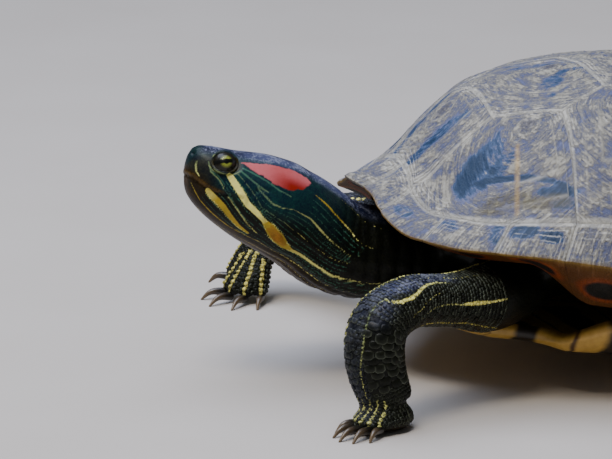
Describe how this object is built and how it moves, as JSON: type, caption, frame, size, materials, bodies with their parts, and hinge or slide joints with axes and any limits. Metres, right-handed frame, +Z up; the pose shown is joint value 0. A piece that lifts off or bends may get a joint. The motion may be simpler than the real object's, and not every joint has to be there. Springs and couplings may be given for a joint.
{
  "type": "red-eared slider turtle",
  "caption": "Life-size still model of a red-eared slider turtle, propped up on its forelegs with its head raised and its shell's rear on the ground.",
  "frame": {"origin": "on the floor, below the middle of the whole animal's bounding box", "axes": "-Y towards the head, +X to the animal's left, +Z up from the floor it rests on"},
  "size_m": [0.248, 0.3104, 0.0996],
  "materials": {
    "skin": "moist dark green skin with small scales and yellow stripes",
    "scutes": "dry horn plates with growth rings and a pale film",
    "plastron": "smooth yellow horn with dark blotches",
    "eyes": "wet, yellow-green with a dark bar",
    "claws": "dark horn with paler tips"
  },
  "bodies": {
    "root": {"nuchal_scute": "scutes", "vertebral_scute_1": "scutes", "vertebral_scute_2": "scutes", "vertebral_scute_3": "scutes", "vertebral_scute_4": "scutes", "vertebral_scute_5": "scutes", "costal_scute_left_1": "scutes", "costal_scute_left_2": "scutes", "costal_scute_left_3": "scutes", "costal_scute_left_4": "scutes", "marginal_scutes_left": "scutes", "costal_scute_right_1": "scutes", "costal_scute_right_2": "scutes", "costal_scute_right_3": "scutes", "costal_scute_right_4": "scutes", "marginal_scutes_right": "scutes", "plastron": "plastron", "head": "skin", "lower_jaw": "skin", "neck": "skin", "trunk": "skin", "tail": "skin", "eye_left": "eyes", "foreleg_left": "skin", "forefoot_left": "skin", "forefoot_left_claw_1": "claws", "forefoot_left_claw_2": "claws", "forefoot_left_claw_3": "claws", "forefoot_left_claw_4": "claws", "forefoot_left_claw_5": "claws", "hindleg_left": "skin", "hindfoot_left": "skin", "hindfoot_left_claw_1": "claws", "hindfoot_left_claw_2": "claws", "hindfoot_left_claw_3": "claws", "hindfoot_left_claw_4": "claws", "eye_right": "eyes", "foreleg_right": "skin", "forefoot_right": "skin", "forefoot_right_claw_1": "claws", "forefoot_right_claw_2": "claws", "forefoot_right_claw_3": "claws", "forefoot_right_claw_4": "claws", "forefoot_right_claw_5": "claws", "hindleg_right": "skin", "hindfoot_right": "skin", "hindfoot_right_claw_1": "claws", "hindfoot_right_claw_2": "claws", "hindfoot_right_claw_3": "claws", "hindfoot_right_claw_4": "claws"}
  },
  "joints": []
}
